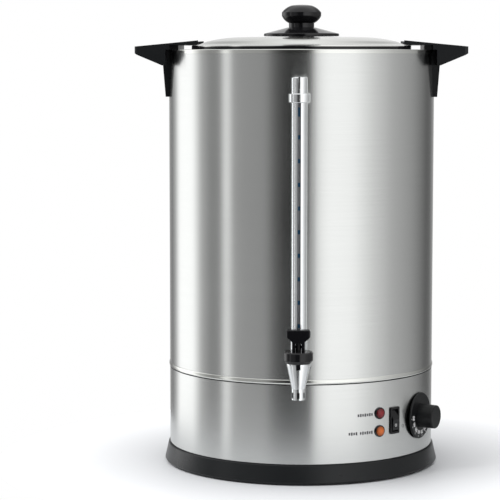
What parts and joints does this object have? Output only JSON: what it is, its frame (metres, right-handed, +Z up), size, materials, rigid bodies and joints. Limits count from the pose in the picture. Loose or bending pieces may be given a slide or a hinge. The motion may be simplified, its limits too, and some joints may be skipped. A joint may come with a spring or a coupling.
{
  "type": "hot water urn",
  "caption": "Electric stainless steel hot water urn with black base and handles, lid with knob, sight gauge, tap, two lamps, rocker switch and thermostat dial.",
  "frame": {"origin": "on the urn's axis, at the level of the feet's undersides", "axes": "+Z up, -Y to the front where the gauge and the tap are, +X to the right seen from the front"},
  "size_m": [0.3824, 0.3741, 0.5365],
  "materials": {
    "brushed_steel": "brushed round the shell",
    "polished_steel": "polished",
    "plain_steel": "plain sheet and fasteners",
    "zinc_steel": "zinc plated",
    "black_moulded": "satin",
    "black_glossy": "glossy",
    "black_inner": "matte",
    "chrome_plate": "mirror bright",
    "gauge_glass": "clear",
    "scale_white": "white with blue marks",
    "red_lens": "translucent red",
    "orange_lens": "translucent orange",
    "seal_rubber": "matte",
    "white_rubber": "food-grade silicone",
    "brass_parts": "plain",
    "cast_aluminium": "cast",
    "wool": "mineral wool"
  },
  "bodies": {
    "urn": {"base_ring": "black_moulded", "base_plate": "plain_steel", "base_screws": "zinc_steel", "rubber_feet": "seal_rubber", "water_tank": "polished_steel", "outer_shell": "brushed_steel", "lower_housing": "brushed_steel", "insulation_sleeve": "wool", "heater_plate": "cast_aluminium", "heating_element": "plain_steel", "element_tabs": "zinc_steel", "element_clamp": "zinc_steel", "clamp_stud": "zinc_steel", "clamp_nut": "zinc_steel", "thermal_cutout": "black_inner", "capillary_bulb": "plain_steel", "lamp_bodies": "black_glossy", "heating_lens": "red_lens", "ready_lens": "orange_lens", "lamp_nuts": "black_inner", "switch_body": "black_glossy", "thermostat_body": "black_inner", "thermostat_nut": "zinc_steel", "mains_inlet": "black_glossy", "inlet_pins": "brass_parts", "inlet_screws": "zinc_steel", "terminal_block": "black_inner", "earth_stud": "zinc_steel", "handle_right": "black_moulded", "handle_left": "black_moulded", "handle_screws": "zinc_steel", "handle_nuts": "zinc_steel", "backing_plates": "plain_steel", "gauge_shank": "chrome_plate", "shank_washers": "white_rubber", "shank_nut": "brass_parts", "shank_spacer": "black_inner", "gauge_nut": "chrome_plate", "gauge_seal": "white_rubber", "gauge_glass": "gauge_glass", "gauge_shield": "chrome_plate", "gauge_scale": "scale_white", "gauge_ring": "chrome_plate", "gauge_cap": "chrome_plate", "tap_body": "chrome_plate", "tap_bonnet": "black_glossy", "tap_spring": "plain_steel"},
    "seal_ring": {"lid_ring": "black_glossy"},
    "lid": {"lid_pan": "polished_steel", "lid_knob": "black_glossy", "knob_flange": "black_glossy", "knob_screw": "zinc_steel", "knob_washer": "plain_steel"},
    "stem": {"tap_stem": "plain_steel", "tap_seat": "white_rubber"},
    "lever": {"tap_lever": "black_glossy", "lever_pin": "plain_steel"},
    "rocker": {"switch_rocker": "black_glossy"},
    "dial": {"thermostat_knob": "black_moulded", "thermostat_shaft": "zinc_steel"}
  },
  "joints": [
    {"name": "lid_lift", "type": "slide", "parent": "urn", "child": "seal_ring", "axis": [0, 0, 1], "range_m": [0, 0.25]},
    {"name": "lid_twist", "type": "hinge", "parent": "seal_ring", "child": "lid", "pos_m": [0, 0, 0.49], "axis": [0, 0, 1], "range_deg": [0, 60]},
    {"name": "stem_lift", "type": "slide", "parent": "urn", "child": "stem", "axis": [0, 0, 1], "range_m": [0, 0.004], "stiffness_N_per_m": 200, "deforming": ["tap_spring"]},
    {"name": "lever_tilt", "type": "hinge", "parent": "stem", "child": "lever", "pos_m": [0, -0.197, 0.162], "axis": [1, 0, 0], "range_deg": [0, 30]},
    {"name": "rocker_flip", "type": "hinge", "parent": "urn", "child": "rocker", "pos_m": [0.10498, -0.10909, 0.0663], "axis": [0.7206, 0.6934, 0], "range_deg": [0, 20]},
    {"name": "dial_turn", "type": "hinge", "parent": "urn", "child": "dial", "pos_m": [0.13686, -0.07277, 0.065], "axis": [-0.8829, 0.4695, 0], "range_deg": [0, 270]}
  ],
  "couplings": [
    {"joint": "lever_tilt", "follows": "stem_lift", "rad_per_m": 130.9}
  ]
}
